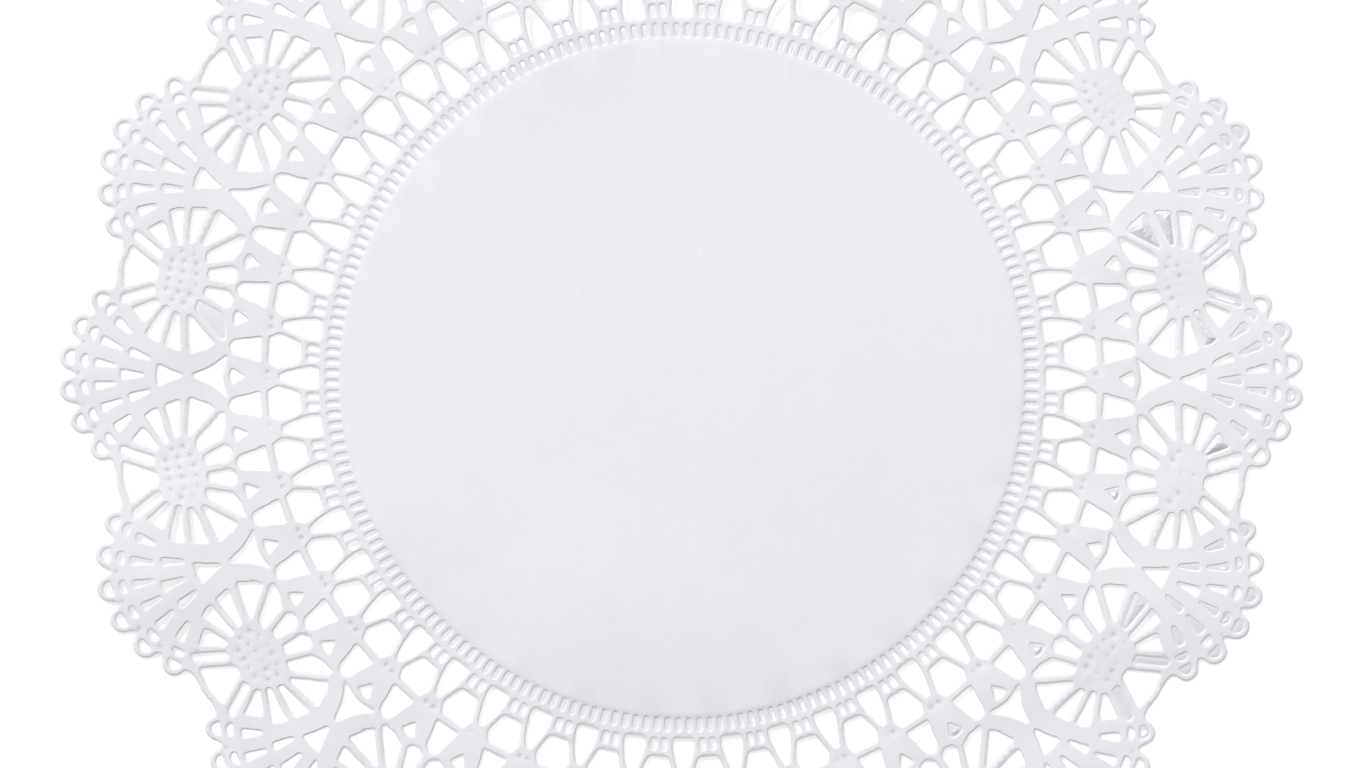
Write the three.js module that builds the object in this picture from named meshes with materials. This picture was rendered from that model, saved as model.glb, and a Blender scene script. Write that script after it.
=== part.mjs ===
// A round paper doily: one sheet of white paper, die cut and embossed to look like lace.
// Millimetres and degrees. The sheet lies flat, its underside on Z = 0, its centre on the Z axis.
// Its lace border repeats 16 times. Each repeat is a shell-shaped fan of the edge, the same on
// both sides of its axis, with a spider wheel halfway to the next fan and three hearts further in.

import * as THREE from "three";

// ---- Driving dimensions -------------------------------------------------------------------

const SHEET_THICKNESS = 1; // the paper with the height of its embossing
const FAN_COUNT = 16; // repeats of the border
const HEART_COUNT = 48; // hearts, three to a fan
const PICOT_STEPS = 4; // straight steps round the top of one loop of the edge

const FAN_PITCH = 360 / FAN_COUNT;
const WHEEL_AXIS = FAN_PITCH / 2; // a wheel lies halfway between two fans
const CELL_AXIS = 360 / HEART_COUNT / 2; // an open cell lies halfway between two hearts

// ---- Outline ------------------------------------------------------------------------------

// The loops, or picots, along half of a fan's edge, from its axis outwards.
// turn: angle of the loop's middle from the fan's axis, in degrees; top: distance of its top
// from the doily's centre; halfWidth: half its width; rise: height of its top over its shoulders.
const picots = [
  { turn: 1.5, top: 152.4, halfWidth: 3.6, rise: 3.3 },
  { turn: 4.6, top: 150.6, halfWidth: 3.5, rise: 3.3 },
  { turn: 7.3, top: 146.3, halfWidth: 3.3, rise: 3.6 },
];

// The bar that hangs between two fans, from the last picot to the wheel's axis.
// turn: angle from the fan's axis; radius: distance from the doily's centre.
const hangingBar = [
  { turn: 9.3, radius: 140.6 },
  { turn: WHEEL_AXIS, radius: 141 },
];

// ---- Gaps ---------------------------------------------------------------------------------

// Gaps that are the same on both sides of an axis of their own.
// count: how many there are round the doily; axis: where the first one's axis lies;
// half: the corners on one side, from the inner end outwards, with turn from that axis.
const axialGaps = [
  {
    name: "teardrop below a heart",
    count: HEART_COUNT,
    axis: 0,
    half: [
      { turn: 1.6, radius: 89.1 },
      { turn: 1.7, radius: 91.6 },
      { turn: 0.4, radius: 98.9 },
    ],
  },
  {
    name: "six-sided cell",
    count: HEART_COUNT,
    axis: CELL_AXIS,
    half: [
      { turn: 1.5, radius: 93.8 },
      { turn: 2.4, radius: 99.1 },
      { turn: 1.8, radius: 101.7 },
    ],
  },
  {
    name: "bell between two hearts",
    count: HEART_COUNT,
    axis: CELL_AXIS,
    half: [
      { turn: 1.8, radius: 103.5 },
      { turn: 1.1, radius: 109.2 },
      { turn: 0.4, radius: 111.2 },
    ],
  },
  {
    name: "tent between the lower leaves",
    count: FAN_COUNT,
    axis: 0,
    half: [
      { turn: 0, radius: 112.5 },
      { turn: 2.7, radius: 111.4 },
      { turn: 1, radius: 115.6 },
      { turn: 0, radius: 119.6 },
    ],
  },
  {
    name: "gap under the hanging bar",
    count: FAN_COUNT,
    axis: WHEEL_AXIS,
    half: [
      { turn: 0.5, radius: 130.5 },
      { turn: 2.1, radius: 138.2 },
      { turn: 0, radius: 139.3 },
    ],
  },
];

// Gaps between the spokes of a wheel, on one side of a fan and mirrored to its other side.
// corners: in order round the gap, with turn from the fan's axis.
const wheelGaps = [
  {
    name: "beside the fan's foot",
    corners: [
      { turn: 7.9, radius: 127.6 },
      { turn: 4.5, radius: 131.8 },
      { turn: 3.7, radius: 128.4 },
      { turn: 7.6, radius: 126.6 },
    ],
  },
  {
    name: "beside the leaves' waist",
    corners: [
      { turn: 7.2, radius: 125.2 },
      { turn: 3.3, radius: 126.9 },
      { turn: 2.7, radius: 122.9 },
      { turn: 7.1, radius: 123.9 },
    ],
  },
  {
    name: "beside the lower leaf",
    corners: [
      { turn: 7, radius: 121.8 },
      { turn: 2.5, radius: 120.7 },
      { turn: 4, radius: 114.8 },
    ],
  },
  {
    name: "above a side heart",
    corners: [
      { turn: 10.7, radius: 118.5 },
      { turn: 9.8, radius: 118.8 },
      { turn: 8.6, radius: 113.3 },
      { turn: 9.7, radius: 111.7 },
      { turn: 10.7, radius: 113 },
    ],
  },
];

// ---- Shapes -------------------------------------------------------------------------------

/** Corners as points of the sheet, with their turns counted from the given axis. */
function pointsFrom(corners, axis) {
  return corners.map(({ turn, radius }) => {
    const angle = THREE.MathUtils.degToRad(axis + turn);
    return new THREE.Vector2(radius * Math.cos(angle), radius * Math.sin(angle));
  });
}

/** The same corners on the other side of their axis, in the opposite order. */
function mirrored(corners) {
  return corners.map(({ turn, radius }) => ({ turn: -turn, radius })).reverse();
}

/** The outline of a gap that is the same on both sides of its axis, from one side's corners. */
function bothSides(half) {
  return [...half, ...mirrored(half.filter(({ turn }) => turn > 0))];
}

/** The corners round the top of one picot, in order of rising turn. */
function picotCorners({ turn, top, halfWidth, rise }) {
  return Array.from({ length: PICOT_STEPS + 1 }, (_, step) => {
    const sweep = (Math.PI * step) / PICOT_STEPS;
    const radius = top - rise * (1 - Math.sin(sweep));
    const aside = THREE.MathUtils.radToDeg((halfWidth * Math.cos(sweep)) / radius);
    return { turn: turn - aside, radius };
  });
}

/** The edge of one repeat, from the wheel before a fan to just short of the wheel after it. */
function repeatEdge() {
  const half = [...picots.flatMap(picotCorners), ...hangingBar];
  return [...mirrored(half), ...half.slice(0, -1)];
}

/** The axes of things that repeat count times round the doily. */
function axesOf(count, first) {
  return Array.from({ length: count }, (_, index) => first + (index * 360) / count);
}

/** One gap as a closed path. */
function gapPath(corners, axis) {
  const path = new THREE.Path(pointsFrom(corners, axis));
  path.closePath();
  return path;
}

/** The flat lace sheet: its scalloped outline with all its larger gaps. */
function laceShape() {
  const fanAxes = axesOf(FAN_COUNT, 0);
  const edge = repeatEdge();
  const shape = new THREE.Shape(fanAxes.flatMap((axis) => pointsFrom(edge, axis)));
  shape.closePath();
  for (const { count, axis: first, half } of axialGaps) {
    for (const axis of axesOf(count, first)) shape.holes.push(gapPath(bothSides(half), axis));
  }
  for (const { corners } of wheelGaps) {
    for (const axis of fanAxes) {
      shape.holes.push(gapPath(corners, axis), gapPath(mirrored(corners), axis));
    }
  }
  return shape;
}

// ---- The doily ----------------------------------------------------------------------------

const paper = new THREE.MeshStandardMaterial({ color: 0xececf0, roughness: 0.85, metalness: 0 });

const doily = new THREE.Mesh(
  new THREE.ExtrudeGeometry(laceShape(), {
    depth: SHEET_THICKNESS,
    bevelEnabled: false,
    curveSegments: 1,
  }),
  paper,
);
doily.name = "doily";

const group = new THREE.Group();
group.add(doily);

export default group;
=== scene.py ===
# %% [markdown]
# # A round paper doily
# The real thing is one sheet of white paper. A steel die presses a lace pattern into its border
# and cuts the gaps of the lace in the same stroke. The middle stays plain. So there is one piece
# here, and all its character lies in the drawing of the gaps and in the small relief round them.
#
# The lace could be painted on a disc with an alpha mask, and that would do from far away. Seen
# from the side a mask has no thickness and no relief, so the gaps are cut in real geometry.

import cmath
import math

import bmesh
import bpy
import numpy as np
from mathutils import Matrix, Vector, noise
from mathutils.geometry import delaunay_2d_cdt


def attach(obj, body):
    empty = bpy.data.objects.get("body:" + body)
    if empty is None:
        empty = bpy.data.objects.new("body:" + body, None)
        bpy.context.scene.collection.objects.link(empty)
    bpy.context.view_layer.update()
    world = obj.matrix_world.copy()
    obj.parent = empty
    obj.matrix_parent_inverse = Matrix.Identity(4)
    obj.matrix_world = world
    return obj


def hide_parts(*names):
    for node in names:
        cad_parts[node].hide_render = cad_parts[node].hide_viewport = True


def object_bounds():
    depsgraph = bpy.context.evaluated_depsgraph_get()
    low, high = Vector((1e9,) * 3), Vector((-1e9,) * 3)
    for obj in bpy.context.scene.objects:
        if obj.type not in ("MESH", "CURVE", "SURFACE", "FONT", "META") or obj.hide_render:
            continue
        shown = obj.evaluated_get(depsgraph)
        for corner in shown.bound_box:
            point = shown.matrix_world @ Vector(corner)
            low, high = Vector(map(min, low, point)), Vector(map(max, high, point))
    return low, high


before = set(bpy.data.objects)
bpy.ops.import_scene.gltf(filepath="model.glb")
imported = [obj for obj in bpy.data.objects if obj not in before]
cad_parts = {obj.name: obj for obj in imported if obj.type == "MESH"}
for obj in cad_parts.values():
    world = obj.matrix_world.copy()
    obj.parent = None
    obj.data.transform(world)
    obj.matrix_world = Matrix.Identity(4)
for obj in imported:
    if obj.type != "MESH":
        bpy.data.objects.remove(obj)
cad_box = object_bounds()
MM = 0.001
OUTER_RADIUS = (cad_box[1].x - cad_box[0].x) / 2 / MM
print("CAD box in millimetres:", [[round(c / MM, 2) for c in corner] for corner in cad_box])

# %% [markdown]
# ## Camera, table and light
# A doily is looked at from straight above, like a drawing. A long lens keeps it free of
# perspective. The table is plain and white. White paper on a white table is only readable by
# its shading, so most of the light comes from one big lamp at the upper left, low enough to rake
# across the relief. A weak lamp on the other side keeps that side from falling off, and an even
# white fill does the rest. A single fill without lamps would be simpler, but it would leave the
# relief flat.

# %% The camera
VIEW_WIDTH = 336.3 * MM
VIEW_MIDDLE = (0.1 * MM, -1.5 * MM)
VIEW_HEIGHT_ABOVE = 1.5
SENSOR_WIDTH = 36.0

camera_data = bpy.data.cameras.new("overhead camera")
camera_data.sensor_width = SENSOR_WIDTH
camera_data.lens = SENSOR_WIDTH * VIEW_HEIGHT_ABOVE / VIEW_WIDTH
camera = bpy.data.objects.new("overhead_camera", camera_data)
camera.location = (*VIEW_MIDDLE, VIEW_HEIGHT_ABOVE)
bpy.context.scene.collection.objects.link(camera)
bpy.context.scene.camera = camera
print("lens in millimetres:", round(camera_data.lens, 1))

# %% Helpers for objects and nodes


def new_object(name, vertices, faces):
    mesh = bpy.data.meshes.new(name)
    mesh.from_pydata(vertices, [], faces)
    mesh.update()
    made = bpy.data.objects.new(name, mesh)
    bpy.context.scene.collection.objects.link(made)
    return made


def node(tree, kind, **settings):
    """A new node. Settings that name an input set its value, and the others are properties."""
    made = tree.nodes.new(kind)
    for key, value in settings.items():
        if key in made.inputs:
            made.inputs[key].default_value = value
        else:
            setattr(made, key, value)
    return made


def empty_material(name):
    material = bpy.data.materials.new(name)
    material.use_nodes = True
    material.node_tree.nodes.clear()
    output = node(material.node_tree, "ShaderNodeOutputMaterial")
    return material, material.node_tree, output


def math_node(tree, operation, *values):
    """A Math node fed with sockets or numbers. Gives back its output."""
    made = node(tree, "ShaderNodeMath", operation=operation)
    for k, value in enumerate(values):
        if isinstance(value, (int, float)):
            made.inputs[k].default_value = value
        else:
            tree.links.new(value, made.inputs[k])
    return made.outputs[0]


def mixed(tree, kind, factor, a, b):
    """A Mix node of kind FLOAT or RGBA, fed in the same way. Gives back its output."""
    made = node(tree, "ShaderNodeMix", data_type=kind)
    for value, socket in zip((factor, a, b), [socket for socket in made.inputs if socket.enabled]):
        if isinstance(value, (int, float)):
            socket.default_value = value
        else:
            tree.links.new(value, socket)
    return next(socket for socket in made.outputs if socket.enabled)


def background_ray(tree):
    """1 for what the camera sees, straight or in a reflection or through glass, and else 0."""
    path = node(tree, "ShaderNodeLightPath").outputs
    mirrored_or_through = math_node(tree, "MAXIMUM", path["Is Glossy Ray"], path["Is Transmission Ray"])
    return math_node(tree, "MAXIMUM", path["Is Camera Ray"], mirrored_or_through)


# %% The table
# The camera sees the table brighter than it is, so that it reads as plain white ground, while the
# shadow that the doily drops on it stays.
TABLE_HALF = 6.0
TABLE_GREY = 0.72
TABLE_LIFT = 0.65

table_top = new_object(
    "table_top",
    [(x * TABLE_HALF, y * TABLE_HALF, 0) for x, y in ((-1, -1), (1, -1), (1, 1), (-1, 1))],
    [(0, 1, 2, 3)],
)
table_material, tree, output = empty_material("white table")
diffuse = node(tree, "ShaderNodeBsdfDiffuse", Color=(TABLE_GREY, TABLE_GREY, TABLE_GREY, 1))
glow = node(tree, "ShaderNodeEmission", Color=(1, 1, 1, 1))
both = node(tree, "ShaderNodeAddShader")
tree.links.new(math_node(tree, "MULTIPLY", background_ray(tree), TABLE_LIFT), glow.inputs["Strength"])
tree.links.new(diffuse.outputs[0], both.inputs[0])
tree.links.new(glow.outputs[0], both.inputs[1])
tree.links.new(both.outputs[0], output.inputs["Surface"])
table_top.data.materials.append(table_material)
print("table and its colour:", table_top.name, TABLE_GREY)

# %% The light
# Where each lamp stands and how wide it is, in metres, and its power in watts.
KEY_FROM = Vector((-2.6, 3.2, 3.65))
KEY_SIZE = 1.22
KEY_POWER = 266.0
SIDE_FROM = Vector((0.9, 0.6, 0.8))
SIDE_SIZE = 0.6
SIDE_POWER = 3.5
FILL = 0.284


def area_light(name, place_of_light, size, power):
    """A round soft light that points at the middle of the table."""
    data = bpy.data.lights.new(name, "AREA")
    data.shape = "DISK"
    data.size = size
    data.energy = power
    light = bpy.data.objects.new(name, data)
    light.location = place_of_light
    light.rotation_euler = (-place_of_light).to_track_quat("-Z", "Y").to_euler()
    bpy.context.scene.collection.objects.link(light)


area_light("key_light", KEY_FROM, KEY_SIZE, KEY_POWER)
area_light("side_light", SIDE_FROM, SIDE_SIZE, SIDE_POWER)

world = bpy.data.worlds.new("studio")
world.use_nodes = True
bpy.context.scene.world = world
tree = world.node_tree
tree.nodes.clear()
sky = node(tree, "ShaderNodeBackground", Color=(1.0, 1.0, 1.0, 1))
tree.links.new(mixed(tree, "FLOAT", background_ray(tree), FILL, 1.0), sky.inputs["Strength"])
tree.links.new(sky.outputs[0], node(tree, "ShaderNodeOutputWorld").inputs["Surface"])

bpy.context.scene.view_settings.view_transform = "Standard"
print("lamps in watts:", KEY_POWER, SIDE_POWER, " fill:", FILL)

# %% [markdown]
# ## The chart of the lace
# A lace maker works from a pricking, a card that holds one repeat of the pattern. This is the
# same thing in numbers, read from enlarged views of a photographed doily. Its motifs are
# old ones: shell fans that end in picots, spider wheels between them, a row of hearts, and a
# ladder round the plain middle. The border repeats sixteen times, and each repeat is a fan that
# is the same on both sides of its axis, so only half a repeat has to be charted.
#
# Every place is an angle from the fan's axis, in degrees, and a distance from the middle of the
# doily, in millimetres. A gap is a few corners and the radius that rounds them. That keeps the
# chart short, and one function can draw every gap from it.

# %% Counts round the doily, and angles in degrees
FANS = 16
HEARTS = 48
RUNGS = 208
HALF_REPEAT = 360 / FANS / 2
CELL = 360 / HEARTS / 2
FAN, WHEEL = 0.0, HALF_REPEAT

# %% The gaps that have an axis of their own
# name, how many round the doily, angle of one axis, corners on one side of it, rounding in mm
AXIAL_GAPS = [
    ("rung slot", RUNGS, 180 / RUNGS, [(0.39, 84.1), (0.39, 87.4)], 0.5),
    ("teardrop", HEARTS, FAN,
     [(1.62, 89.1), (1.72, 91.4), (1.3, 94.6), (0.85, 96.9), (0.35, 98.9)], 0.7),
    ("six-sided cell", HEARTS, CELL, [(1.45, 93.8), (2.4, 98.6), (2.4, 99.7), (1.8, 101.7)], 0.9),
    ("bell", HEARTS, CELL,
     [(1.85, 103.5), (1.42, 106.1), (1.13, 108.9), (0.85, 110.3), (0.3, 111.2)], 0.6),
    ("heart's eye", HEARTS, FAN, [(0.0, 106.9), (0.95, 110.0), (0.75, 110.6), (0.0, 110.9)], 0.35),
    ("tent", FANS, FAN,
     [(0.0, 112.5), (1.3, 112.1), (2.9, 111.3), (2.0, 113.3), (1.1, 115.5), (0.55, 118.2),
      (0.2, 119.8)], 0.4),
    ("wedge", FANS, FAN,
     [(0.2, 122.3), (0.75, 125.6), (1.2, 127.5), (1.15, 128.4), (0.0, 128.7)], 0.4),
    ("middle slot of the fan", FANS, FAN, [(0.2, 131.6), (0.6, 137.4)], 0.7),
    ("gap under the hanging bar", FANS, WHEEL,
     [(0.5, 130.5), (2.15, 138.1), (1.9, 138.7), (0.0, 139.3)], 0.8),
]

# %% The gaps that come in mirrored pairs
# name, how many pairs, angle of the pair's axis, corners of one of the two, rounding in mm
PAIRED_GAPS = [
    ("clump slot", HEARTS, CELL, [(0.3, 89.3), (1.25, 89.3), (1.25, 92.2), (0.3, 92.2)], 0.4),
    ("lower fan slot", FANS, FAN, [(1.55, 130.3), (2.0, 130.2), (2.95, 135.0), (2.0, 135.7)], 0.7),
    ("first upper slot", FANS, FAN, [(0.75, 138.7), (1.1, 138.6), (1.65, 143.6), (0.75, 143.9)], 0.7),
    ("second upper slot", FANS, FAN, [(2.5, 137.3), (2.85, 137.0), (4.0, 141.9), (3.05, 142.7)], 0.7),
    ("third upper slot", FANS, FAN, [(4.15, 135.3), (4.6, 134.9), (6.1, 138.5), (5.15, 139.8)], 0.7),
    ("twin-spoke slot", FANS, FAN, [(8.95, 130.6), (9.9, 130.7), (8.2, 138.8), (7.35, 138.6)], 0.6),
    ("first wheel gap", FANS, FAN,
     [(7.0, 135.8), (5.7, 132.7), (6.1, 131.6), (8.0, 129.1), (8.4, 129.7), (7.9, 132.0)], 0.5),
    ("second wheel gap", FANS, FAN,
     [(4.45, 131.9), (3.85, 130.1), (3.65, 128.4), (5.5, 127.6), (7.6, 126.6), (7.9, 127.5)], 0.5),
    ("third wheel gap", FANS, FAN, [(7.25, 125.2), (3.3, 126.9), (2.7, 122.9), (7.1, 123.9)], 0.6),
    ("fourth wheel gap", FANS, FAN,
     [(2.45, 120.7), (6.95, 122.0), (7.1, 121.2), (4.0, 114.7), (3.4, 116.0), (2.9, 118.5)], 0.5),
    ("fifth wheel gap", FANS, FAN,
     [(9.0, 120.0), (8.0, 120.3), (7.5, 119.6), (4.5, 113.2), (4.7, 112.3), (6.2, 112.4),
      (7.8, 113.7)], 0.5),
    ("sixth wheel gap", FANS, FAN,
     [(10.75, 118.4), (10.3, 118.9), (9.7, 118.8), (8.55, 113.3), (8.9, 112.1), (9.8, 111.6),
      (10.75, 113.0)], 0.6),
]

# %% The picots, which are the small loops of the edge
# Each fan has two rows of them, and both are arches on a flat foot. The outer row also shapes
# the sheet's edge, with arches one bar wider than the holes.
# turn, distance of the foot's middle, half width, height, lean in degrees
OUTER_PICOTS = [(1.55, 148.8, 1.95, 2.3, 7), (4.6, 146.6, 1.9, 2.2, 17), (7.3, 142.4, 1.8, 2.4, 33)]
INNER_PICOTS = [(1.3, 145.5, 1.85, 1.7, 7), (4.0, 143.6, 1.8, 1.8, 18), (6.45, 140.2, 1.75, 1.8, 36)]
PICOT_BAR = 1.45
PICOT_ROUND = 0.4

# Between the picots of the edge: a notch before each, and the hanging bar after the last.
NOTCHES = [(0.0, 147.9), (3.05, 147.3), (5.85, 144.5)]
HANGING_BAR = [(8.9, 140.9), (9.6, 140.6), (WHEEL, 140.9)]
NOTCH_ROUND = 0.5
print("gaps charted:", len(AXIAL_GAPS), "on an axis and", len(PAIRED_GAPS), "in pairs")

# %% [markdown]
# ## From the chart to outlines
# A place in the plane is written here as one complex number, x + y i. Multiplying by a number of
# length one turns a place round the middle, and the conjugate mirrors it, so a pattern that
# turns and mirrors needs no matrices.
#
# The die is cut with a round tool, so none of its corners is sharp. `rounded` bends the corners
# of the chart in the same way, with only as many points as the bend needs. Blender's curves have
# rounded corners too, but here the outlines have to stay plain lists of points, because the
# triangles and all distances are worked out from them.

# %% Places, turns and mirrors


def place(turn, distance):
    """The place at an angle in degrees and a distance from the middle."""
    return cmath.rect(distance, math.radians(turn))


def turned(places, degrees):
    return [p * place(degrees, 1) for p in places]


def mirrored(places, axis):
    """The places mirrored in the line through the middle at this angle."""
    return [p.conjugate() * place(2 * axis, 1) for p in reversed(places)]


# %% Rounded outlines
# the least turn that is bent, how far an edge may be off its arc, how long it may be, and how much
# of it a bend may use up
SLIGHT_TURN = math.radians(6)
CHORD_ERROR = 0.045
LONGEST_EDGE = 2.2
MOST_OF_EDGE = 0.45


def rounded(corners, radius, closed=True):
    """The outline through the corners, each of them bent to an arc."""
    outline = []
    for k, corner in enumerate(corners):
        back = corners[k - 1] - corner
        ahead = corners[(k + 1) % len(corners)] - corner
        turn = cmath.phase(-ahead / back)
        is_end = not closed and k in (0, len(corners) - 1)
        if is_end or abs(turn) < SLIGHT_TURN:
            outline.append(corner)
            continue
        slope = math.tan(abs(turn) / 2)
        reach = min(radius * slope, MOST_OF_EDGE * abs(back), MOST_OF_EDGE * abs(ahead))
        bend = reach / slope
        steps = math.ceil(abs(turn) / (2 * math.acos(1 - min(1, CHORD_ERROR / bend))))
        start = corner + back / abs(back) * reach
        middle = start - 1j * math.copysign(bend, turn) * back / abs(back)
        arm = start - middle
        outline += [middle + arm * cmath.rect(1, turn * j / steps) for j in range(steps + 1)]
    return split_long_edges(outline, closed)


def split_long_edges(outline, closed):
    following = outline[1:] + outline[:1] if closed else outline[1:]
    finer = []
    for here, there in zip(outline, following):
        pieces = math.ceil(abs(there - here) / LONGEST_EDGE)
        finer += [here + (there - here) * j / pieces for j in range(pieces)]
    return finer if closed else finer + outline[-1:]


# %% All gaps that come near one half repeat
# Gaps a few degrees beyond it count too, because the paper at its seams has to know how far off
# the next cut is.
BEYOND = 3.6


def all_round(outline, count):
    """The copies of an outline that come near the half repeat."""
    copies = [turned(outline, 360 / count * k) for k in range(count)]
    turns = [math.degrees(cmath.phase(sum(copy))) for copy in copies]
    return [copy for copy, turn in zip(copies, turns) if -BEYOND < turn < HALF_REPEAT + BEYOND]


gaps = []
for _, count, axis, half, radius in AXIAL_GAPS:
    corners = [place(axis + turn, distance) for turn, distance in half]
    corners += [place(axis - turn, distance) for turn, distance in reversed(half) if turn]
    gaps += all_round(rounded(corners, radius), count)
for _, count, axis, chart, radius in PAIRED_GAPS:
    gap = rounded([place(axis + turn, distance) for turn, distance in chart], radius)
    gaps += all_round(gap, count) + all_round(mirrored(gap, axis), count)
print("gaps near one half repeat:", len(gaps))

# %% The picots and the edge of the sheet
# An arch of the edge starts and ends this many degrees above its foot.
FOOT_CLEAR = 18
ARCH_STEPS = 5
EDGE_STEPS = 8


def arch(picot, wider, angles):
    """Places on a half ellipse over the picot's foot, leaning as the picot leans."""
    turn, distance, half_width, height, lean = picot
    out = place(turn + lean, 1)
    across = (half_width + wider) * np.cos(np.radians(angles))
    up = (height + wider) * np.sin(np.radians(angles))
    return list(place(turn, distance) + 1j * out * across + out * up)


for picot in OUTER_PICOTS + INNER_PICOTS:
    hole = rounded(arch(picot, 0, np.linspace(180, 0, ARCH_STEPS + 1)), PICOT_ROUND)
    gaps += all_round(hole, FANS) + all_round(mirrored(hole, FAN), FANS)

# Pressed paper springs back into its cuts, and narrows every gap by this all round.
SPRING_BACK = 0.12


def narrowed(outline, by):
    """The closed outline moved inwards."""
    here, ahead, behind = np.array(outline), np.roll(outline, -1), np.roll(outline, 1)
    area = (here.conj() * ahead).imag.sum()
    along = (ahead - behind) / abs(ahead - behind)
    return list(here + 1j * math.copysign(by, area) * along)


gaps = [narrowed(gap, SPRING_BACK) for gap in gaps]

half_edge = []
for notch, picot in zip(NOTCHES, OUTER_PICOTS):
    half_edge.append(place(*notch))
    half_edge += arch(picot, PICOT_BAR, np.linspace(180 - FOOT_CLEAR, FOOT_CLEAR, EDGE_STEPS + 1))
half_edge += [place(*bar) for bar in HANGING_BAR]
edge_corners = mirrored(half_edge, FAN)[:-1] + half_edge + mirrored(half_edge, WHEEL)[1:]
sheet_edge = rounded(edge_corners, NOTCH_ROUND, closed=False)
print("gaps with the picots:", len(gaps), " points on the edge:", len(sheet_edge))

# %% [markdown]
# ## Where there is paper, and how far off the nearest cut is
# Two questions are asked of every point. Is it paper? A line from the point to the right crosses
# the outlines an odd number of times if it is. How far is it from a cut? That is the least
# distance to any of their edges, and all of the relief is worked out from it.

# %% Paper and distance
cut_from = np.array([p for line in gaps for p in line] + sheet_edge[:-1])
cut_to = np.array([p for line in gaps for p in line[1:] + line[:1]] + sheet_edge[1:])
wall_from = np.append(cut_from, [sheet_edge[-1], 0])
wall_to = np.append(cut_to, [0, sheet_edge[0]])


def inside(places, starts, ends):
    """Whether each place lies inside the closed outlines that these edges make."""
    p = np.asarray(places)[:, None]
    straddles = (starts.imag > p.imag) != (ends.imag > p.imag)
    rise = np.where(ends.imag == starts.imag, 1, ends.imag - starts.imag)
    share = (p.imag - starts.imag) / rise
    crossing = starts.real + share * (ends.real - starts.real)
    return (straddles & (crossing > p.real)).sum(axis=1) % 2 == 1


def is_paper(places):
    return inside(places, wall_from, wall_to)


def distance(places, starts, ends):
    """How far each place is from the nearest of these edges."""
    p = np.asarray(places)[:, None]
    along = ends - starts
    share = ((p - starts) * along.conj()).real / abs(along) ** 2
    nearest = starts + np.clip(share, 0, 1) * along
    return abs(p - nearest).min(axis=1)


def distance_to_cut(places):
    return distance(places, cut_from, cut_to)


print("edges of cuts:", len(cut_from), " with the seams:", len(wall_from))

# %% [markdown]
# ## Points between the outlines
# A triangle mesh only shows a rounded thread if it has points where the roundness needs them:
# a row on the shoulder close to each cut, and a row along the crest. From every point of an
# outline a probe goes straight into the paper. While it is nearest to the cut that it came from,
# it is still on its own side of the thread, and the crest is where that ends.

# %% Probes from the outlines to the crest of the threads
# A probe has left its own side when a cut is nearer than this share of its length.
OWN_SIDE = 0.985
PROBE_START = 0.1
PROBE_END = 3.2
PROBE_HALVINGS = 9
# half widths of threads and leaves, and the slope's width in each
HALF_THREADS = [0.0, 0.5, 1.05, 1.3, 1.9]
FLANKS = [0.0, 0.38, 0.56, 0.56, 0.32]


def into_paper(outline, closed):
    """Directions of length one, square to the outline at its points."""
    places = np.array(outline)
    before, after = np.roll(places, 1), np.roll(places, -1)
    if not closed:
        before[0], after[-1] = places[0], places[-1]
    sideways = 1j * (after - before) / abs(after - before)
    return np.where(is_paper(places + PROBE_START * sideways), sideways, -sideways)


def flank_width(half_thread):
    """How far the slope reaches in from a cut: most of a thread, but a little of a leaf."""
    return np.interp(half_thread, HALF_THREADS, FLANKS)


cuts = np.array([p for line in gaps for p in line] + sheet_edge)
owners = np.repeat(range(len(gaps) + 1), [len(line) for line in gaps] + [len(sheet_edge)])
inward = np.concatenate([into_paper(line, True) for line in gaps] + [into_paper(sheet_edge, False)])
nearer, farther = np.full(len(cuts), PROBE_START), np.full(len(cuts), PROBE_END)
for _ in range(PROBE_HALVINGS):
    reach = (nearer + farther) / 2
    own_side = distance_to_cut(cuts + reach * inward) >= OWN_SIDE * reach
    nearer, farther = np.where(own_side, reach, nearer), np.where(own_side, farther, reach)
to_crest = nearer
flank = flank_width(to_crest)
print("probes:", len(cuts), " half the width of a thread, median:", round(np.median(to_crest), 2))

# %% Dents
# Small dents are pressed into the flat places: a knot or two where threads meet, and three rows
# in the hub of each wheel, which make it look darned. A dent has a point in its middle and rings
# of points round it, so that it can be deep and round with few triangles.
#
# turn and distance of each knot
KNOTS = [(0.6, 101.6), (6.9, 101.6), (8.1, 101.6), (FAN, 147.7), (3.0, 146.7), (5.4, 144.2)]
# for each dent of a hub how far it is from the wheel's axis, and its distance
DARNING = [(1.3, 121.4), (3.9, 121.9), (6.3, 123.1), (1.3, 124.7), (3.8, 124.9), (6.2, 125.9),
           (1.2, 127.9), (3.6, 127.9)]
DENT_RADIUS = 0.46
# radius and number of points
DENT_RINGS = [(0.0, 1), (0.3, 6), (0.68, 8)]

dents = [place(*knot) for knot in KNOTS]
dents += [place(WHEEL, 1) * complex(distance, -aside) for aside, distance in DARNING]
round_dents = [dent + place(360 * k / count, radius)
               for dent in dents for radius, count in DENT_RINGS for k in range(count)]
print("dents in a half repeat:", len(dents))

# %% Points on the two seams
# A half repeat meets its mirror image along two straight seams. Points lie on the seams
# themselves, so that both sides meet in the same points.
# In a leaf a second row of points lies this far from the cut.
FLAT = 0.8
CLOSEST = 0.15
# the pitch of points on a seam, and the step with which its cuts are looked for
SEAM_STEP = 1.2
SEAM_FINE = 0.02
OUTSIDE = 156.0
HAIR = 1e-3
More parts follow.
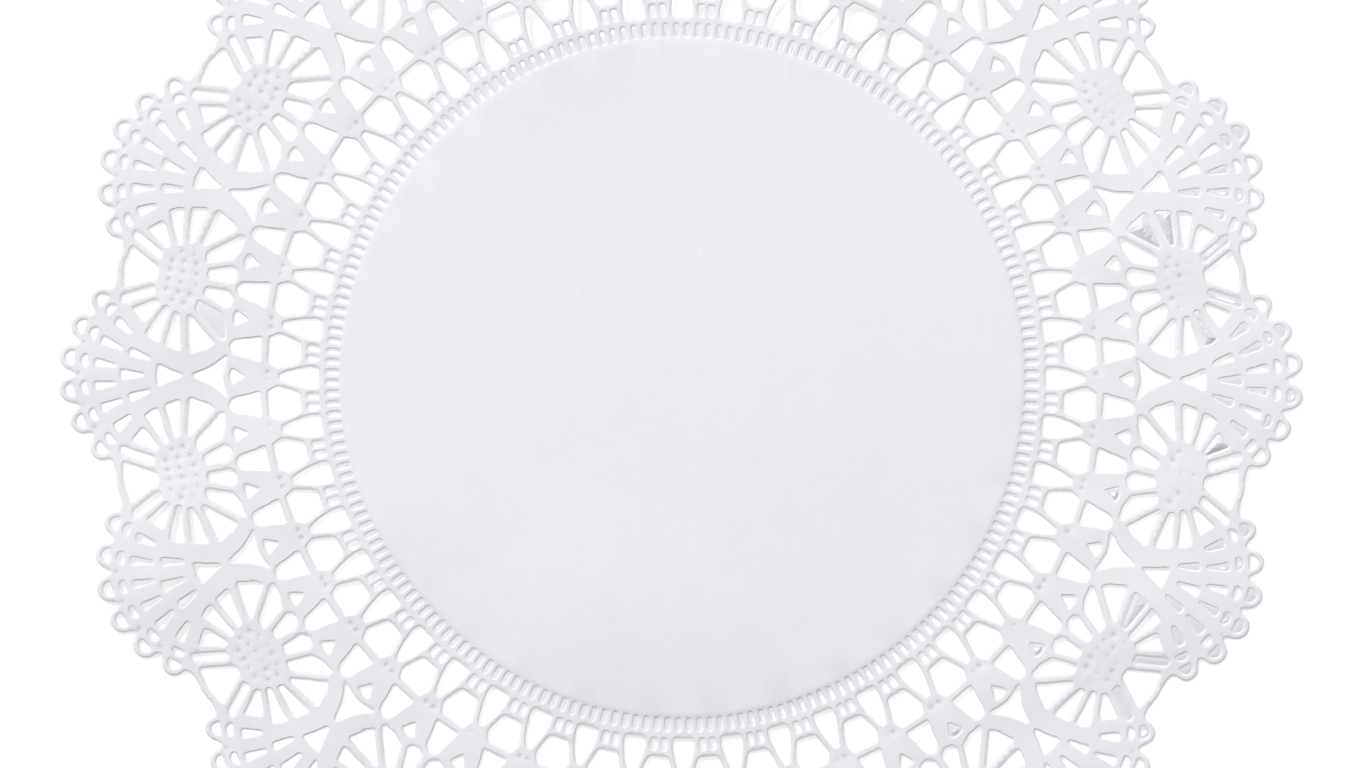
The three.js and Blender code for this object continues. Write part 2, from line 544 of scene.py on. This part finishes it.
# the plain middle, the step at its rim, and the rings of points in both
DISC_RADIUS = 84.1
DISC_STEP_WIDTH = 0.9
DISC_RINGS = [6, 13, 20, 27, 34, 41, 48, 55, 62, 69, 76, 82.3]
STEP_RINGS = [DISC_RADIUS - DISC_STEP_WIDTH, DISC_RADIUS - DISC_STEP_WIDTH / 2, DISC_RADIUS]


def points_across(first, last, fine):
    """Rows near both ends of a stretch of paper, and even steps between them."""
    middle = (first + last) / 2
    rows = [flank_width(middle - first), FLAT] if fine else [FLAT]
    near = [first + row for row in rows if first + row < middle - CLOSEST]
    far = [last - row for row in rows if last - row > middle + CLOSEST]
    start, stop = (near[-1], far[-1]) if near else (middle, middle)
    steps = max(2, math.ceil((stop - start) / SEAM_STEP))
    return near + [start + (stop - start) * k / steps for k in range(1, steps)] + far


def seam(turn, fine):
    """Points along a seam: the rings of the disc, then rows near each cut, then the dents."""
    along = np.arange(DISC_RADIUS, OUTSIDE, SEAM_FINE)
    paper = is_paper([place(turn + HAIR, r) for r in along])
    ends = [DISC_RADIUS, *along[1:][paper[1:] != paper[:-1]]]
    distances = DISC_RINGS + STEP_RINGS
    for first, last in zip(ends[0::2], ends[1::2]):
        distances += points_across(first, last, fine)
    on_seam = [abs(dent) for dent in dents if abs((dent * place(-turn, 1)).imag) < HAIR]
    marks = [r + shift for r in on_seam for shift in (-DENT_RINGS[1][0], 0, DENT_RINGS[1][0])]
    distances = [r for r in distances if all(abs(r - mark) > CLOSEST for mark in marks)]
    return [place(turn, r) for r in sorted(distances + marks)]


def clear_of_seams(places, room):
    places = np.asarray(places)
    from_fan = places.imag
    from_wheel = -(places * place(-WHEEL, 1)).imag
    return places[(from_fan > room) & (from_wheel > room)]


top_seams = [seam(FAN, True), seam(WHEEL, True)]
under_seams = [seam(FAN, False), seam(WHEEL, False)]
print("points on the seams, on top:", len(top_seams[0]), "and", len(top_seams[1]))

# %% Points in between
# The dents and crests come first, then the leaves, the plain middle and a loose field, and last
# the shoulders of the threads. A new point that would crowd another is left out.
#
# half widths: above the first a thread counts as a leaf, and above the second it has no crest
FLAT_BEGINS = 1.3
WIDE = 2.2
# the rings of the loose field, its pitch along them, and how far it stays from the cuts
FIELD_RINGS = np.arange(100.0, 149.0, 1.9)
FIELD_PITCH = 2.1
FIELD_DEPTH = 1.5
DISC_PITCH = 7.0
STEP_PITCH = 2.5


def ring(distance, pitch):
    """Evenly spread points of one ring, those of the half repeat only."""
    count = max(1, round(math.radians(HALF_REPEAT) * distance / pitch))
    return [place(HALF_REPEAT * (k + 0.5) / count, distance) for k in range(count)]


def with_apart(points, more, room):
    """The points with those new ones that keep their distance from all the others."""
    for p in clear_of_seams(more, CLOSEST):
        if abs(points - p).min() > room:
            points = np.append(points, p)
    return points


# The first ring of the step is left out, as it is an edge of the triangles anyway.
disc = [p for r in DISC_RINGS for p in ring(r, DISC_PITCH)]
disc += [p for r in STEP_RINGS[1:] for p in ring(r, STEP_PITCH)]
field = np.array([p for r in FIELD_RINGS for p in ring(r, FIELD_PITCH)])
field = field[is_paper(field)]
field = field[distance_to_cut(field) > FIELD_DEPTH]
crests = (cuts + to_crest * inward)[to_crest <= WIDE]
flats = (cuts + FLAT * inward)[to_crest > FLAT_BEGINS]
shoulders = (cuts + flank * inward)[to_crest - flank > CLOSEST]

# points, and how far each keeps from all others
TOP_LAYERS = [(round_dents, 0.2), (crests, 0.65), (flats, 0.8), (disc, 0.3), (field, 1.2),
              (shoulders, 0.26)]
UNDER_LAYERS = [(dents, 0.5), (crests, 1.6), (flats, 1.9), (disc, 0.3), (field, 1.9)]

top_points = np.array(top_seams[0] + top_seams[1])
for places, room in TOP_LAYERS:
    top_points = with_apart(top_points, places, room)
under_points = np.array(under_seams[0] + under_seams[1])
for places, room in UNDER_LAYERS:
    under_points = with_apart(under_points, places, room)
print("points between the outlines, top and underside:", len(top_points), len(under_points))

# %% [markdown]
# ## Triangles
# A constrained Delaunay triangulation joins all these points with well shaped triangles, and
# every edge of an outline stays an edge. Blender has it in `mathutils.geometry`. It covers the
# gaps too, so the triangles whose middle is not paper are thrown away. Boolean cuts with 1104
# gaps would take far longer and leave ragged triangles on the threads.

# %% Triangulate one half repeat
TRIANGLES_OVER_ALL = 0
EPSILON = 1e-4


def triangulate(sides, points):
    """Triangles through outlines, seams and points, only where there is paper."""
    rim_steps = round(math.radians(HALF_REPEAT) * DISC_RADIUS / STEP_PITCH)
    rim = [place(HALF_REPEAT * k / rim_steps, STEP_RINGS[0]) for k in range(rim_steps + 1)]
    lines = [line + line[:1] for line in gaps] + [sheet_edge, rim]
    lines += [[0, *side, side[-1] / abs(side[-1]) * OUTSIDE] for side in sides]
    places, edges = [], []
    for line in lines:
        edges += [(len(places) + k, len(places) + k + 1) for k in range(len(line) - 1)]
        places += line
    places += list(points[len(sides[0]) + len(sides[1]):])
    vectors = [Vector((p.real, p.imag)) for p in places]
    made = delaunay_2d_cdt(vectors, edges, [], TRIANGLES_OVER_ALL, EPSILON)
    found = np.array([complex(*v) for v in made[0]])
    faces = np.array(made[2])
    middles = found[faces].mean(axis=1)
    between_seams = (middles.imag > 0) & ((middles * place(-WHEEL, 1)).imag < 0)
    kept = faces[between_seams & is_paper(middles)]
    used, faces = np.unique(kept, return_inverse=True)
    return found[used], faces.reshape(kept.shape)


top, top_faces = triangulate(top_seams, top_points)
under, under_faces = triangulate(under_seams, under_points)
print("triangles on top:", len(top_faces), " under:", len(under_faces))

# %% [markdown]
# ## The relief
# The die presses the paper up between the cuts. A thread is pressed like a low roof with long
# slopes, and a leaf or a heart like a plateau with short steep ones, so the slope's width goes by
# the width of what it belongs to. The plain middle stands a little higher than the lace, rounds off
# towards its rim, and steps down to the ring of rungs there. The underside follows one paper
# thickness below. All of it is a height for every point, worked out from its distance to the
# nearest cut. A bump map could shade it as well, but it would be gone at the rim and in shadows.

# %% Heights on top and below
# the paper's thickness, the rise of the lace, and that of the plain middle above it
PAPER = 0.11
RELIEF = 0.235
DISC_RISE = 0.15
DOME = 0.08
DOME_FLATNESS = 12
# how deep a dent is, and from which depth on a face gets the painted shade of a dent
DENT_DEPTH = 0.22
DENT_SHADE_DEPTH = 0.06
# how far the width of a thread is smoothed along it, and the share of the rise where slopes end
SMOOTH = 0.5
STEEP = 0.5


def half_thread_near(places):
    """Half the width of the thread or leaf that each place lies in, smoothed along it."""
    apart = abs(places[:, None] - cuts)
    weights = np.exp(-((apart - apart.min(axis=1, keepdims=True)) / SMOOTH) ** 2)
    return (weights * to_crest).sum(axis=1) / weights.sum(axis=1)


def raised(places):
    """From 0 at a cut to 1 where the slope ends."""
    return np.clip(distance_to_cut(places) / flank_width(half_thread_near(places)), 0, 1)


def relief(places):
    """Height of the pressed paper over its edge, without the dents."""
    step = np.clip((DISC_RADIUS - abs(places)) / DISC_STEP_WIDTH, 0, 1)
    dome = 1 - np.clip(abs(places) / DISC_RADIUS, 0, 1) ** DOME_FLATNESS
    return RELIEF * raised(places) + DISC_RISE * step ** 2 * (3 - 2 * step) + DOME * dome


def dent_depth(places):
    from_dents = abs(places[:, None] - np.array(dents)).min(axis=1)
    return DENT_DEPTH * np.exp(-(from_dents / DENT_RADIUS) ** 2)


print("height of the lace and of the middle's rim:", PAPER + RELIEF, PAPER + RELIEF + DISC_RISE)

# %% Walls along the cuts
# An edge of the top that only one triangle uses is a cut, unless it lies on a seam. Each such
# edge is joined to the same edge of the underside.


def on_seam(p):
    return abs(p.imag) < HAIR or abs((p * place(-WHEEL, 1)).imag) < HAIR


def open_edges(faces):
    directed = {(a, b) for f in faces for a, b in zip(f, np.roll(f, -1))}
    return [(a, b) for a, b in directed if (b, a) not in directed]


def nearest_under(k):
    return len(top) + int(abs(under - top[k]).argmin())


walls = [(b, a, nearest_under(a), nearest_under(b)) for a, b in open_edges(top_faces)
         if not (on_seam(top[a]) and on_seam(top[b]))]
places = np.concatenate([top, under])
heights = np.concatenate([relief(top) + PAPER, relief(under)])
dented = np.concatenate([dent_depth(top), dent_depth(under)])
LACE, SLOPE, MIDDLE, UNDERSIDE, CUT, TENT, DENT_SHADE, SHUT = range(8)
slopes = raised(top)[top_faces].min(axis=1) < STEEP
# Faces deep in a dent take a darker grey, which is painted shade.
dent_shade_faces = dent_depth(top[top_faces].mean(axis=1)) > DENT_SHADE_DEPTH
plain = abs(top[top_faces]).max(axis=1) < STEP_RINGS[0] + HAIR
faces = [tuple(f) for f in top_faces] + [tuple(f[::-1] + len(top)) for f in under_faces] + walls
kinds = list(np.select([dent_shade_faces, plain, slopes], [DENT_SHADE, MIDDLE, SLOPE], LACE))
kinds += [UNDERSIDE] * len(under_faces) + [CUT] * len(walls)
print("walls in a half repeat:", len(walls), " sloping triangles:", sum(slopes))

# %% [markdown]
# ## Gaps that were left uncut
# A die cuts a stack of sheets in one stroke, and where its edge is blunt a gap stays shut. In a
# wide gap the paper that should have fallen out stands up like a small crumpled tent. In a narrow
# slot or a picot it stays nearly flat. And because this die stood a little askew, some gaps are
# open along their upper left side only, and hold a flap. All of them belong to this one sheet
# and not to the pattern, so they have a chart of their own.
#
# Each such gap loses its wall and gets a small sheet of paper with two faces instead. So the doily
# stays one closed solid, which a patch laid over the gap would not.

# %% Chart of the uncut gaps
# turn and distance of a place in the gap, height of its paper, share that is open, kind of face
TALL_TENTS = [
    (18.2, 118.0, 1.15, 0.0, TENT), (16.9, 123.6, 0.95, 0.0, TENT), (5.7, 128.8, 0.8, 0.0, TENT),
    (-7.1, 132.6, 1.0, 0.0, TENT), (-26.4, 124.4, 0.35, 0.0, TENT), (173.3, 116.2, 0.2, 0.0, LACE),
    (-14.9, 109.6, 0.45, 0.55, TENT), (-38.1, 109.6, 0.4, 0.6, TENT), (-52.5, 109.6, 0.4, 0.55, TENT),
]
# The small gaps of a fan: turn from its axis, and distance
SMALL_GAPS = {
    "middle": (0.0, 134.5), "lower": (2.3, 133.0), "upper1": (1.2, 141.0), "upper2": (3.2, 139.8),
    "upper3": (5.0, 137.2), "twin": (8.7, 134.5), "inner1": (1.3, 146.0), "inner2": (4.0, 144.2),
    "inner3": (6.4, 140.9), "outer1": (1.6, 149.6), "outer2": (4.6, 147.3), "outer3": (7.3, 143.0),
}
# fan, side of its axis, small gaps that are shut, and those that are open along one side only
SHUT_GAPS = [
    (-2, 1, "twin", "outer3"),
    (-1, -1, "lower upper1 upper2 upper3 twin inner3 outer1 outer2 outer3", "inner1"),
    (-1, 1, "lower upper3 outer1 outer3", "upper2 inner2"),
    (0, -1, "lower upper3 inner2 middle", "upper1 outer1"),
    (0, 1, "upper2 upper3 inner3 outer2", "inner2 twin"),
    (1, -1, "upper1", "lower upper2 upper3 inner2 twin"),
    (1, 1, "inner1 inner3 outer1 outer2 outer3", ""),
]
LOW_TENT = 0.09
# how large an opening is against its gap, how near to the gap's rim, and towards which side
HALF_OPEN = 0.62
TEAR_RIM = 0.12
TEAR_SIDE = place(129, 1)
# the pitch of the points in a tent, and how far they keep from its edges, at most
TENT_PITCH = 1.1
TENT_EDGE = 0.35
EDGE_SHARE = 1 / 3
CRUMPLE = 0.12
CRUMPLE_PITCH = 0.9


uncut_gaps = list(TALL_TENTS)
for fan, side, shut_names, torn_names in SHUT_GAPS:
    for names, torn in ((shut_names, 0.0), (torn_names, HALF_OPEN)):
        for turn, radius in (SMALL_GAPS[name] for name in names.split()):
            uncut_gaps.append((360 / FANS * fan + side * turn, radius, LOW_TENT, torn, SHUT))


def half_repeat_of(turn):
    """The number of the repeat that an angle lies in, and whether in its mirrored half."""
    number = round(turn * FANS / 360)
    return number % FANS, turn < number * 360 / FANS


def with_crossings(outline):
    """The outline with a point wherever it crosses the axis of the fan."""
    whole = []
    for here, there in zip(outline, outline[1:] + outline[:1]):
        whole.append(here)
        if abs(here.imag) > HAIR and here.imag * there.imag < 0:
            whole.append(here + (there - here) * here.imag / (here.imag - there.imag))
    return whole


def tent_over(outline, top_height, torn, tear_side):
    """Places, heights and triangles of the paper left in a gap, open on one side if at all."""
    starts, ends = np.array(outline), np.roll(outline, -1)
    middle = starts.mean()
    half_width = distance([middle], starts, ends)[0]
    pitch, edge = min(TENT_PITCH, half_width), min(TENT_EDGE, half_width * EDGE_SHARE)
    tear_middle = middle + tear_side * max(0, half_width * (1 - torn) - TEAR_RIM)
    tear = [tear_middle + (p - middle) * torn for p in outline] if torn else []
    grid = np.array([complex(x, y) for x in np.arange(starts.real.min(), starts.real.max(), pitch)
                     for y in np.arange(starts.imag.min(), starts.imag.max(), pitch)])
    grid = grid[inside(grid, starts, ends) & (distance(grid, starts, ends) > edge)]
    if torn:
        hole = np.array(tear), np.roll(tear, -1)
        grid = grid[~inside(grid, *hole) & (distance(grid, *hole) > edge)]
    points = list(outline) + tear + list(grid)
    rims = [range(len(outline)), range(len(outline), len(outline) + len(tear))]
    edges = [(rim[k - 1], rim[k]) for rim in rims for k in range(len(rim))]
    vectors = [Vector((p.real, p.imag)) for p in points]
    made = delaunay_2d_cdt(vectors, edges, [], TRIANGLES_OVER_ALL, EPSILON)
    places = np.array([complex(*v) for v in made[0]])
    triangles = np.array(made[2])
    middles = places[triangles].mean(axis=1)
    kept = inside(middles, starts, ends)
    if torn:
        kept &= ~inside(middles, *hole)
    from_rim = distance(places, starts, ends)
    rough = [noise.noise(Vector((p.real, p.imag, top_height)) * CRUMPLE_PITCH) for p in places]
    share = from_rim / from_rim.max() * (1 + CRUMPLE * np.array(rough))
    return places, top_height * np.where(from_rim > EPSILON, share, 0), triangles[kept]


print("gaps left uncut:", len(uncut_gaps))

# %% Mirror the half repeat, repeat it sixteen times and fill the uncut gaps
wall_owners = [owners[abs(cuts - top[a]).argmin()] for _, a, _, _ in walls]
inner_gaps = np.array([sum(gap) / len(gap) for gap in gaps])
uncut, shut = {}, set()
for turn, radius, top_height, torn, kind in uncut_gaps:
    number, flipped = half_repeat_of(turn)
    local = place(turn, radius) * place(-360 / FANS * number, 1)
    gap = abs(inner_gaps - (local.conjugate() if flipped else local)).argmin()
    uncut.setdefault((number, flipped), []).append((gap, top_height, torn, kind))
    shut.add((number, flipped, gap))
    if on_seam(inner_gaps[gap]):
        shut.add((number, not flipped, gap))

sheet_places, sheet_heights, sheet_dents, sheet_faces, sheet_kinds = [], [], [], [], []


def add_part(places, heights, dented, faces, kinds, number, flipped):
    first = sum(len(part) for part in sheet_places)
    sheet_places.append((places.conjugate() if flipped else places) * place(360 / FANS * number, 1))
    sheet_heights.append(heights)
    sheet_dents.append(dented)
    sheet_faces.extend(tuple(int(v) + first for v in (f[::-1] if flipped else f)) for f in faces)
    sheet_kinds.extend(kinds)


for number in range(FANS):
    for flipped in (False, True):
        open_walls = [(number, flipped, owner) not in shut for owner in wall_owners]
        keep = [True] * (len(faces) - len(walls)) + open_walls
        add_part(places, heights, dented, [f for f, k in zip(faces, keep) if k],
                 [f for f, k in zip(kinds, keep) if k], number, flipped)
        tear_side = TEAR_SIDE * place(-360 / FANS * number, 1)
        tear_side = tear_side.conjugate() if flipped else tear_side
        for gap, top_height, torn, kind in uncut.get((number, flipped), []):
            tent, rise, triangles = tent_over(with_crossings(gaps[gap]), top_height, torn, tear_side)
            both = np.concatenate([tent, tent])
            tops = [tuple(t) for t in triangles]
            rim_walls = [(b, a, a + len(tent), b + len(tent)) for a, b in open_edges(tops)
                         if rise[a] > 0 and rise[b] > 0]
            unders = [tuple(v + len(tent) for v in t[::-1]) for t in tops]
            tent_kinds = [kind] * len(tops) + [UNDERSIDE] * len(unders) + [CUT] * len(rim_walls)
            add_part(both, np.concatenate([rise + PAPER, rise]), np.zeros(len(both)),
                     tops + unders + rim_walls, tent_kinds, number, flipped)
sheet_places = np.concatenate(sheet_places)
sheet_heights = np.concatenate(sheet_heights)
sheet_dents = np.concatenate(sheet_dents)
print("faces in the whole sheet:", len(sheet_faces))

# %% [markdown]
# ## How the sheet really lies
# The die leaves thin paper a little strained: longer one way than the other, and not quite even
# from fan to fan. And so light a sheet never lies flat on a table. It stands off it in a few low
# swells, and its pressed border has small cockles as well. The eye reads both as soft lighter and
# darker patches. A cloth simulation would make other swells each time it is tuned, so these few
# are listed one by one, and random noise is left to the cockles.

# %% Strain and swells
# The sheet is longer one way than the other by these shares. Its border also moves and twists by
# so many millimetres at the edge, and most of the twist is near one angle.
STRETCH = complex(0.0036, -0.0015)
SHIFT = -0.5
STRAIN_BEGINS = 90.0
TWIST = -0.3
TWIST_PULL = -0.95
TWIST_TURN = 195.0
TWIST_WIDTH = 24.0
# Wide noise pushes the pattern about, and small noise roughens its cuts.
WANDER = 0.3
WANDER_LENGTH = 38.0
WANDER_SEED = 1.5
FRAY = 0.09
FRAY_LENGTH = 2.2
FRAY_SEED = 4.5
SIDEWAYS_SEED = 9.5
# x, y, radius and height of each swell
SWELLS = [
    (128.0, 30.0, 30.0, 0.8), (130.0, -12.0, 24.0, 0.6), (112.0, -58.0, 26.0, 0.7),
    (72.0, -84.0, 24.0, 0.5), (-124.0, -49.0, 25.0, 1.3), (-122.0, 34.0, 24.0, 0.5),
    (-34.0, 97.0, 28.0, 3.0), (30.0, 100.0, 26.0, 2.1), (6.0, -4.0, 66.0, 2.4),
    (-66.0, -34.0, 22.0, 0.8), (-26.0, -56.0, 22.0, 1.1), (20.0, -125.0, 26.0, 0.7),
    (6.0, -64.0, 24.0, 0.9),
]
COCKLE = 0.55
COCKLE_LENGTH = 16.0
COCKLE_SEED = 3.5
# The cockles set in between these two distances.
COCKLE_FROM = [86.0, 96.0]


def random_at(places, length, seed):
    """Smooth noise with lumps of this length, the same each time."""
    return np.array([noise.noise(Vector((p.real / length, p.imag / length, seed))) for p in places])


def drift(places, length, seed):
    return random_at(places, length, seed) + 1j * random_at(places, length, seed + SIDEWAYS_SEED)


def strained(places):
    across = np.clip((abs(places) - STRAIN_BEGINS) / (OUTER_RADIUS - STRAIN_BEGINS), 0, 1)
    off_turn = np.degrees(np.angle(places * place(-TWIST_TURN, 1)))
    twist = TWIST + TWIST_PULL * np.exp(-(off_turn / TWIST_WIDTH) ** 2)
    sideways = 1j * places / np.maximum(abs(places), HAIR)
    moved = places + STRETCH * places.conj() + (SHIFT + twist * sideways) * across
    moved += WANDER * drift(places, WANDER_LENGTH, WANDER_SEED)
    return moved + FRAY * drift(places, FRAY_LENGTH, FRAY_SEED)


def swell(places):
    lift = np.zeros(len(places))
    for x, y, radius, height in SWELLS:
        lift += height * np.exp(-(abs(places - complex(x, y)) / radius) ** 2)
    return lift


def cockle(places):
    """Small waves of the pressed border, which the plain middle doesn't have."""
    waves = random_at(places, COCKLE_LENGTH, COCKLE_SEED)
    return COCKLE * np.interp(abs(places), COCKLE_FROM, [0.0, 1.0]) * waves


lift = swell(sheet_places) + cockle(sheet_places)
print("swells lift the sheet by:", lift.min().round(2), "to", lift.max().round(2))

# %% How deep each dent is
# The pins of the die are worn on one side of the doily, most of all in their outer rows, and all of
# them press unevenly. A dent that hardly shows gets no painted shade and has the finish of the lace
# round it.
UNEVEN = 2.0
UNEVEN_LENGTH = 2.2
UNEVEN_SEED = 3.4
BLUNT_SIDE = [40.0, 110.0]
BLUNT_TOWARDS = place(22, 1)
BLUNT_ROWS = [122.0, 126.0]
BLUNT = 0.75
FAINT = 0.6

blunt_side = np.interp((sheet_places / BLUNT_TOWARDS).real, BLUNT_SIDE, [0, 1])
blunt_rows = np.interp(abs(sheet_places), BLUNT_ROWS, [0, 1])
chance = random_at(sheet_places, UNEVEN_LENGTH, UNEVEN_SEED)
pressed = (1 - BLUNT * blunt_side * blunt_rows) * (1 + UNEVEN * chance)
for k, face in enumerate(sheet_faces):
    if sheet_kinds[k] == DENT_SHADE and pressed[face[0]] < FAINT:
        sheet_kinds[k] = LACE
print("faces of pressed dents:", sheet_kinds.count(DENT_SHADE))

# %% Make the sheet
# A dent can't go deeper than the lace is raised, and the sheet's lowest point touches the table.
MERGE = 0.01
CUBIC_CENTIMETRE = 1e-6
z = sheet_heights - np.minimum(sheet_dents * pressed, RELIEF) + lift
z -= z.min()
laid = strained(sheet_places)
doily = new_object("doily_sheet", [(p.real * MM, p.imag * MM, h * MM) for p, h in zip(laid, z)],
                   sheet_faces)
doily.data.polygons.foreach_set("material_index", sheet_kinds)
# An edge between two of these kinds of face is shaded smooth, and any other is sharp.
SMOOTH_PAIRS = [{LACE}, {SLOPE}, {MIDDLE}, {LACE, MIDDLE}, {UNDERSIDE}, {CUT}, {DENT_SHADE}, {LACE, DENT_SHADE}]
build = bmesh.new()
build.from_mesh(doily.data)
bmesh.ops.remove_doubles(build, verts=build.verts, dist=MERGE * MM)
for edge in build.edges:
    edge.smooth = {face.material_index for face in edge.link_faces} in SMOOTH_PAIRS
for face in build.faces:
    face.smooth = True
print("open or tangled edges:", sum(not edge.is_manifold for edge in build.edges),
      " triangles:", sum(len(face.verts) - 2 for face in build.faces),
      " volume in cubic centimetres:", round(build.calc_volume(signed=True) / CUBIC_CENTIMETRE, 2))
build.to_mesh(doily.data)
build.free()

# %% [markdown]
# ## What the paper looks like
# Paper is felted fibre. Three things show it: faint clouds where the fibres lie thicker, a fine
# tangle of fibres on the surface, and a grain too small to see that takes away all gloss. The lace
# is a trace darker and smoother than the plain middle. Dents and uncut gaps are darker still: their
# grey is painted shade. A cut edge shows broken fibre ends. Every face has all of it in other
# amounts, so it is built once, as a group of nodes, and each material sets its own values. One
# material with masks could do it too, but the kinds of face are known from the making, so plain
# material slots are simpler and sharper.

# %% Helpers for node groups


def new_group(name, inputs, outputs):
    """A shader node group with its sockets, and its input and output nodes."""
    group = bpy.data.node_groups.new(name, "ShaderNodeTree")
    for socket, value in inputs.items():
        kind = "NodeSocketFloat" if isinstance(value, float) else "NodeSocketColor"
        group.interface.new_socket(socket, in_out="INPUT", socket_type=kind).default_value = value
    for socket, kind in outputs.items():
        group.interface.new_socket(socket, in_out="OUTPUT", socket_type=kind)
    return group, node(group, "NodeGroupInput"), node(group, "NodeGroupOutput")


def noise_at(tree, vector, scale, detail, distortion=0.0):
    """A noise texture from 0 to 1 with the given number of lumps in a metre."""
    made = node(tree, "ShaderNodeTexNoise", Scale=scale, Detail=detail, Distortion=distortion)
    tree.links.new(vector, made.inputs["Vector"])
    return made.outputs["Fac"]


# %% The group for felted paper
# Scales count lumps in a metre. A fibre is where warped noise is near its middle value.
CLOUD_SCALE = 95.0
PATCH_SCALE = 260.0
FIBRE_SCALE = 900.0
GRAIN_SCALE = 4200.0
SOFT_DETAIL = 2.0
PATCH_DETAIL = 3.0
NOISE_MIDDLE = 0.5
FIBRE_WARP = 1.6
FIBRE_THINNESS = 7.0
CLOUD_SHARE = 0.55
FIBRE_SHARE = 0.6
CLOUDY_FROM, CLOUDY_TO = 0.36, 0.64
PAPER_WHITE = (0.85, 0.85, 0.88, 1.0)
DULL, SILKY = 0.86, 0.76

felt, entry, result = new_group(
    "felted paper",
    {"Thick": PAPER_WHITE, "Thin": PAPER_WHITE, "Dull": DULL, "Silky": SILKY, "Fibre Height": 1.0},
    {"Color": "NodeSocketColor", "Roughness": "NodeSocketFloat", "Height": "NodeSocketFloat"},
)
where = node(felt, "ShaderNodeTexCoord").outputs["Object"]
clouds = noise_at(felt, where, CLOUD_SCALE, SOFT_DETAIL)
patches = noise_at(felt, where, PATCH_SCALE, PATCH_DETAIL)
cloudy = mixed(felt, "FLOAT", CLOUD_SHARE, patches, clouds)
spread = node(felt, "ShaderNodeMapRange")
felt.links.new(cloudy, spread.inputs["Value"])
spread.inputs["From Min"].default_value = CLOUDY_FROM
spread.inputs["From Max"].default_value = CLOUDY_TO
tangle = noise_at(felt, where, FIBRE_SCALE, SOFT_DETAIL, FIBRE_WARP)
off_middle = math_node(felt, "ABSOLUTE", math_node(felt, "SUBTRACT", tangle, NOISE_MIDDLE))
fibres = math_node(felt, "SUBTRACT", 1.0, math_node(felt, "MULTIPLY", off_middle, FIBRE_THINNESS))
fibres = math_node(felt, "MAXIMUM", fibres, 0.0)
grain = noise_at(felt, where, GRAIN_SCALE, SOFT_DETAIL)
height = mixed(felt, "FLOAT", FIBRE_SHARE, grain, fibres)
height = math_node(felt, "MULTIPLY", height, entry.outputs["Fibre Height"])
color = mixed(felt, "RGBA", spread.outputs["Result"], entry.outputs["Thin"], entry.outputs["Thick"])
gloss = mixed(felt, "FLOAT", grain, entry.outputs["Silky"], entry.outputs["Dull"])
felt.links.new(color, result.inputs["Color"])
felt.links.new(gloss, result.inputs["Roughness"])
felt.links.new(height, result.inputs["Height"])
print("nodes in the paper group:", len(felt.nodes))

# %% The finishes of the sheet
BUMP_DISTANCE = 0.03 * MM
# for each kind of face: name, grey of the thick and of the thin clouds, height of the fibres
FINISHES = [
    ("pressed lace", 0.834, 0.818, 0.6),
    ("pressed slope", 0.835, 0.815, 0.5),
    ("plain middle", 0.854, 0.838, 1.0),
    ("underside", 0.85, 0.83, 1.3),
    ("cut edge", 0.86, 0.80, 2.5),
    # The tall tents' greyer paper is painted shade on their crumpled facets.
    ("uncut paper with painted shade", 0.79, 0.74, 1.0),
    # The dents' darker grey is painted shade in the hollows, and it keeps their lit walls from shining.
    ("dent with painted shade", 0.73, 0.69, 1.0),
    # The shut gaps' darker grey is painted shade in the slots.
    ("shut gap with painted shade", 0.79, 0.75, 1.5),
]
TINT = np.array([1.0, 0.994, 1.042])
SHEEN = 0.3


def paper_material(name, thick, thin, fibre_height):
    material, tree, output = empty_material(name)
    shader = node(tree, "ShaderNodeBsdfPrincipled")
    shader.inputs["Specular IOR Level"].default_value = SHEEN
    surface = node(tree, "ShaderNodeGroup", node_tree=felt)
    surface.inputs["Thick"].default_value = (*thick * TINT, 1)
    surface.inputs["Thin"].default_value = (*thin * TINT, 1)
    surface.inputs["Fibre Height"].default_value = fibre_height
    bump = node(tree, "ShaderNodeBump", Distance=BUMP_DISTANCE)
    tree.links.new(surface.outputs["Height"], bump.inputs["Height"])
    tree.links.new(surface.outputs["Color"], shader.inputs["Base Color"])
    tree.links.new(surface.outputs["Roughness"], shader.inputs["Roughness"])
    tree.links.new(bump.outputs[0], shader.inputs["Normal"])
    tree.links.new(shader.outputs[0], output.inputs["Surface"])
    return material


for finish in FINISHES:
    doily.data.materials.append(paper_material(*finish))
print("materials:", [material.name for material in doily.data.materials])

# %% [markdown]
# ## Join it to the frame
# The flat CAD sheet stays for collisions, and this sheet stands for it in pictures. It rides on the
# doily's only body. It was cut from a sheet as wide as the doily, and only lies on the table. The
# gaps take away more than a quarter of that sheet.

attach(doily, "root")
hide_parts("doily")
